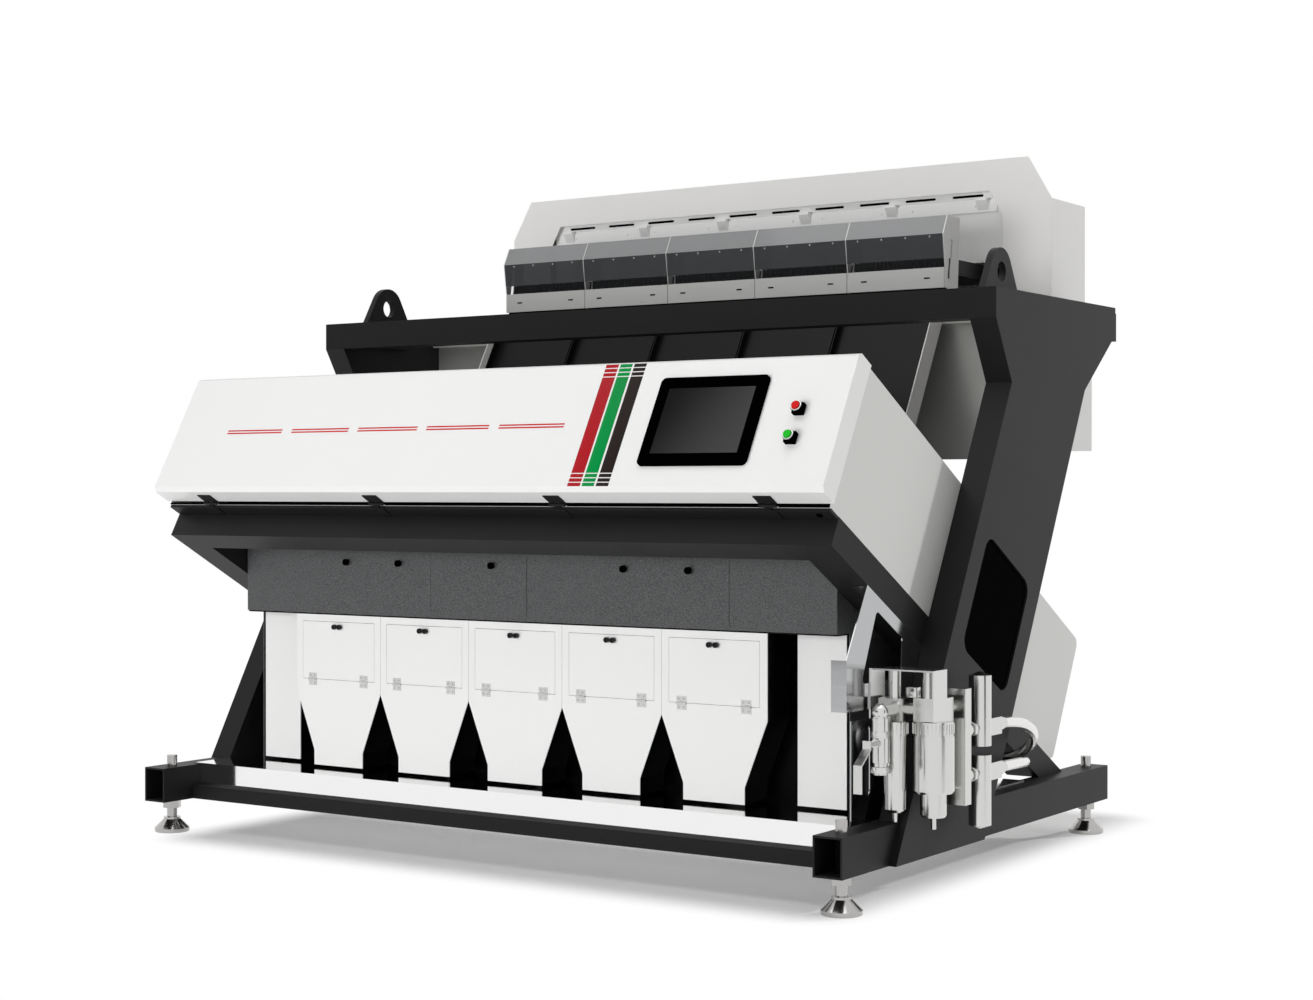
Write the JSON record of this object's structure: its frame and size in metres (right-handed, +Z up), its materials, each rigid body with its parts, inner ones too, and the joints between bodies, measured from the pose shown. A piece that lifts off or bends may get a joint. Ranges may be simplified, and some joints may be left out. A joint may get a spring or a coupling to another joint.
{
  "type": "optical colour sorter",
  "caption": "Chute-type optical colour sorter on a leaned frame, with a hopper, vibrating feeders, chutes, a camera box with a touch screen door, reject funnels and an air treatment unit.",
  "frame": {"origin": "middle of the box round the whole machine, on the floor", "axes": "+X to the right seen from the front, +Y to the back, +Z up"},
  "size_m": [2.496, 1.8984, 2.027],
  "materials": {
    "black_frame": "satin fine-texture black paint",
    "satin_black": "satin black paint",
    "black_plastic": "matt black",
    "tray_black": "black anodised",
    "white_paint": "gloss white paint",
    "funnel_white": "satin white paint",
    "light_grey": "satin light grey paint",
    "hammered_grey": "hammered dark grey paint",
    "polished_steel": "mirror-polished stainless sheet",
    "steel": "bright machined steel",
    "screen_glass": "dark glossy glass",
    "clear_glass": "clear glass",
    "smoke_visor": "smoked clear sheet",
    "lamp_white": "frosted tube",
    "red_plastic": "gloss red",
    "green_plastic": "gloss green",
    "hose_grey": "pale grey hose"
  },
  "bodies": {
    "frame": {"base_beams": "black_frame", "base_cross_members": "black_frame", "side_columns": "black_frame", "column_covers": "satin_black", "top_beams": "black_frame", "lifting_lugs": "black_frame", "foot_pads": "steel", "foot_studs": "steel", "front_arms": "black_frame", "rear_arms": "black_frame", "base_tray": "polished_steel", "side_shields": "polished_steel", "rear_shield": "polished_steel", "front_box": "light_grey", "rear_box": "light_grey", "inspection_glass": "clear_glass", "cameras": "black_plastic", "lamps": "lamp_white", "hinge_strip": "black_frame", "chutes": "satin_black", "chute_rails": "light_grey", "ejectors": "steel", "collection_box": "hammered_grey", "access_covers": "hammered_grey", "access_knobs": "black_plastic", "reject_funnels": "funnel_white", "back_apron": "satin_black", "infill_panels": "funnel_white", "sample_hinges": "steel", "accept_trough": "funnel_white", "feeder_bed": "black_frame", "feeder_drives": "black_plastic", "feeder_plates": "steel", "feeder_visors": "smoke_visor", "feed_hood": "light_grey", "hopper_bin": "funnel_white", "hopper_gates": "funnel_white", "rear_cabinet": "light_grey", "air_unit": "steel", "air_valves": "steel", "air_tank": "steel", "air_hoses": "hose_grey"},
    "front_door": {"front_door": "white_paint", "door_hinge_leaves": "black_frame", "screen_bezel": "black_plastic", "screen_glass": "screen_glass", "button_collars": "black_plastic"},
    "button_red": {"button_red": "red_plastic"},
    "button_green": {"button_green": "green_plastic"},
    "valve_lever": {"valve_lever": "steel"},
    "sample_door_1": {"sample_door_1": "funnel_white"},
    "feeder_tray_1": {"feeder_tray_1": "tray_black"},
    "sample_door_2": {"sample_door_2": "funnel_white"},
    "feeder_tray_2": {"feeder_tray_2": "tray_black"},
    "sample_door_3": {"sample_door_3": "funnel_white"},
    "feeder_tray_3": {"feeder_tray_3": "tray_black"},
    "sample_door_4": {"sample_door_4": "funnel_white"},
    "feeder_tray_4": {"feeder_tray_4": "tray_black"},
    "sample_door_5": {"sample_door_5": "funnel_white"},
    "feeder_tray_5": {"feeder_tray_5": "tray_black"}
  },
  "joints": [
    {"name": "front_door_hinge", "type": "hinge", "parent": "frame", "child": "front_door", "pos_m": [-0.053, -0.90047, 0.97645], "axis": [1, 0, 0], "range_deg": [0, 90]},
    {"name": "button_red_push", "type": "slide", "parent": "front_door", "child": "button_red", "axis": [0, 0.8746, -0.4848], "range_m": [0, 0.004], "stiffness_N_per_m": 400, "springref_m": -0.002},
    {"name": "button_green_push", "type": "slide", "parent": "front_door", "child": "button_green", "axis": [0, 0.8746, -0.4848], "range_m": [0, 0.004], "stiffness_N_per_m": 400, "springref_m": -0.002},
    {"name": "sample_door_1_hinge", "type": "hinge", "parent": "frame", "child": "sample_door_1", "pos_m": [-0.703, -0.68317, 0.458], "axis": [1, 0, 0], "range_deg": [0, 80]},
    {"name": "sample_door_2_hinge", "type": "hinge", "parent": "frame", "child": "sample_door_2", "pos_m": [-0.378, -0.68317, 0.458], "axis": [1, 0, 0], "range_deg": [0, 80]},
    {"name": "sample_door_3_hinge", "type": "hinge", "parent": "frame", "child": "sample_door_3", "pos_m": [-0.053, -0.68317, 0.458], "axis": [1, 0, 0], "range_deg": [0, 80]},
    {"name": "sample_door_4_hinge", "type": "hinge", "parent": "frame", "child": "sample_door_4", "pos_m": [0.272, -0.68317, 0.458], "axis": [1, 0, 0], "range_deg": [0, 80]},
    {"name": "sample_door_5_hinge", "type": "hinge", "parent": "frame", "child": "sample_door_5", "pos_m": [0.597, -0.68317, 0.458], "axis": [1, 0, 0], "range_deg": [0, 80]},
    {"name": "valve_lever_turn", "type": "hinge", "parent": "frame", "child": "valve_lever", "pos_m": [1.116, -0.79177, 0.4], "axis": [0, -1, 0], "range_deg": [0, 90]},
    {"name": "feeder_tray_1_shake", "type": "slide", "parent": "frame", "child": "feeder_tray_1", "axis": [0, 1, 0], "range_m": [-0.0015, 0.0015], "stiffness_N_per_m": 20000},
    {"name": "feeder_tray_2_shake", "type": "slide", "parent": "frame", "child": "feeder_tray_2", "axis": [0, 1, 0], "range_m": [-0.0015, 0.0015], "stiffness_N_per_m": 20000},
    {"name": "feeder_tray_3_shake", "type": "slide", "parent": "frame", "child": "feeder_tray_3", "axis": [0, 1, 0], "range_m": [-0.0015, 0.0015], "stiffness_N_per_m": 20000},
    {"name": "feeder_tray_4_shake", "type": "slide", "parent": "frame", "child": "feeder_tray_4", "axis": [0, 1, 0], "range_m": [-0.0015, 0.0015], "stiffness_N_per_m": 20000},
    {"name": "feeder_tray_5_shake", "type": "slide", "parent": "frame", "child": "feeder_tray_5", "axis": [0, 1, 0], "range_m": [-0.0015, 0.0015], "stiffness_N_per_m": 20000}
  ]
}
